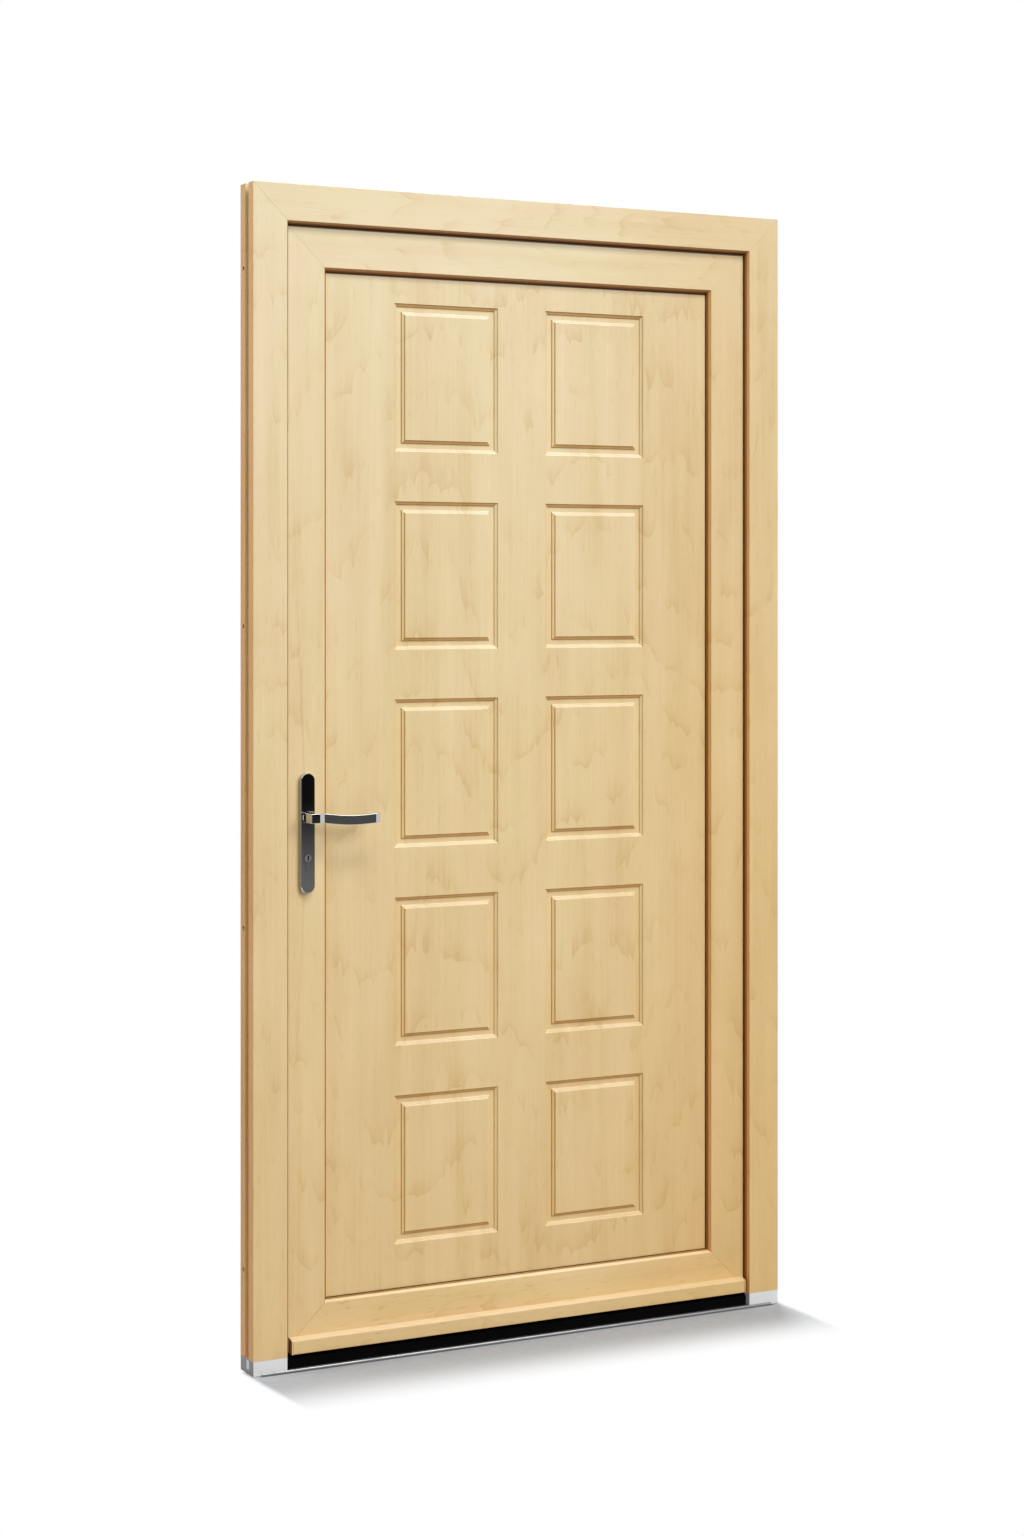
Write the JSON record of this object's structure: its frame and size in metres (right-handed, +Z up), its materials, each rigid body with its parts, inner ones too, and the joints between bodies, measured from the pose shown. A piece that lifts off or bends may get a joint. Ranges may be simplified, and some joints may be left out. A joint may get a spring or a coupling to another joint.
{
  "type": "panelled front door",
  "caption": "Inward-opening panelled front door in a hollow frame with threshold, weather bar, lever handle, profile cylinder, multipoint lock and barrel hinges.",
  "frame": {"origin": "middle of the threshold's underside, at half the frame's depth", "axes": "+Z up along the height, +X to the right seen from outside, +Y from outside to inside"},
  "size_m": [1.1, 0.158, 2.1],
  "materials": {
    "wood_foil": "pale wood-grain foil on a plastic section, satin",
    "black_rubber": "matt seal",
    "black_plastic": "matt black",
    "grey_plastic": "pale grey, satin",
    "mill_aluminium": "plain drawn metal",
    "polished_metal": "polished dark",
    "nickel_brass": "nickel plated",
    "zinced_steel": "zinc plated"
  },
  "bodies": {
    "frame": {"jamb_left": "wood_foil", "jamb_right": "wood_foil", "head": "wood_foil", "jamb_left_steel": "zinced_steel", "jamb_right_steel": "zinced_steel", "head_steel": "zinced_steel", "threshold_sill": "mill_aluminium", "threshold_break": "black_plastic", "threshold_inner": "mill_aluminium", "threshold_block_left": "grey_plastic", "threshold_block_right": "grey_plastic", "frame_seal": "black_rubber", "keep_main": "zinced_steel", "side_keeps": "zinced_steel", "keep_screws": "zinced_steel", "hinge_frame_halves": "zinced_steel", "hinge_frame_screws": "zinced_steel", "hinge_pins": "zinced_steel"},
    "leaf": {"stile_lock": "wood_foil", "stile_hinge": "wood_foil", "rail_top": "wood_foil", "rail_bottom": "wood_foil", "stile_lock_steel": "zinced_steel", "stile_hinge_steel": "zinced_steel", "rail_top_steel": "zinced_steel", "rail_bottom_steel": "zinced_steel", "infill_panel": "wood_foil", "bead_left": "wood_foil", "bead_right": "wood_foil", "bead_top": "wood_foil", "bead_bottom": "wood_foil", "panel_gasket_outer": "black_rubber", "panel_gasket_inner": "black_rubber", "panel_packers": "black_plastic", "leaf_seal": "black_rubber", "weather_bar": "wood_foil", "weather_bar_caps": "wood_foil", "bottom_brush": "black_rubber", "lock_faceplate": "zinced_steel", "faceplate_screws": "zinced_steel", "lock_case": "zinced_steel", "side_bolt_cases": "zinced_steel", "plate_outside": "polished_metal", "plate_inside": "polished_metal", "cylinder_body": "nickel_brass", "plate_screws": "zinced_steel", "hinge_leaf_halves": "zinced_steel", "hinge_leaf_screws": "zinced_steel"},
    "handle": {"lever_outside": "polished_metal", "lever_inside": "polished_metal", "handle_spindle": "zinced_steel", "lock_follower": "zinced_steel"},
    "latch": {"latch_bolt": "zinced_steel"},
    "bolts": {"deadbolt": "zinced_steel", "side_bolts": "zinced_steel"},
    "upper_rod": {"drive_rod_upper": "zinced_steel"},
    "lower_rod": {"drive_rod_lower": "zinced_steel"},
    "outside_plug": {"plug_outside": "nickel_brass", "cylinder_cam": "nickel_brass"},
    "inside_plug": {"plug_inside": "nickel_brass"}
  },
  "joints": [
    {"name": "leaf_swing", "type": "hinge", "parent": "frame", "child": "leaf", "pos_m": [0.528, 0.053, 0], "axis": [0, 0, -1], "range_deg": [0, 110]},
    {"name": "lever_turn", "type": "hinge", "parent": "leaf", "child": "handle", "pos_m": [-0.443, 0, 0.978], "axis": [0, 1, 0], "range_deg": [0, 40], "stiffness_Nm_per_rad": 2, "springref_deg": -20.05},
    {"name": "latch_slide", "type": "slide", "parent": "leaf", "child": "latch", "axis": [1, 0, 0], "range_m": [0, 0.0122]},
    {"name": "key_turn", "type": "hinge", "parent": "leaf", "child": "outside_plug", "pos_m": [-0.443, 0, 0.906], "axis": [0, 1, 0], "range_deg": [0, 360]},
    {"name": "bolt_slide", "type": "slide", "parent": "leaf", "child": "bolts", "axis": [-1, 0, 0], "range_m": [0, 0.02]},
    {"name": "upper_rod_slide", "type": "slide", "parent": "leaf", "child": "upper_rod", "axis": [0, 0, 1], "range_m": [0, 0.0151]},
    {"name": "lower_rod_slide", "type": "slide", "parent": "leaf", "child": "lower_rod", "axis": [0, 0, -1], "range_m": [0, 0.0151]},
    {"name": "inside_plug_turn", "type": "hinge", "parent": "leaf", "child": "inside_plug", "pos_m": [-0.443, 0, 0.906], "axis": [0, 1, 0], "range_deg": [0, 360]}
  ],
  "couplings": [
    {"joint": "latch_slide", "follows": "lever_turn", "m_per_rad": 0.017189},
    {"joint": "key_turn", "follows": "bolt_slide", "rad_per_m": 314.16},
    {"joint": "upper_rod_slide", "follows": "bolt_slide", "ratio": 0.75},
    {"joint": "lower_rod_slide", "follows": "bolt_slide", "ratio": 0.75}
  ]
}
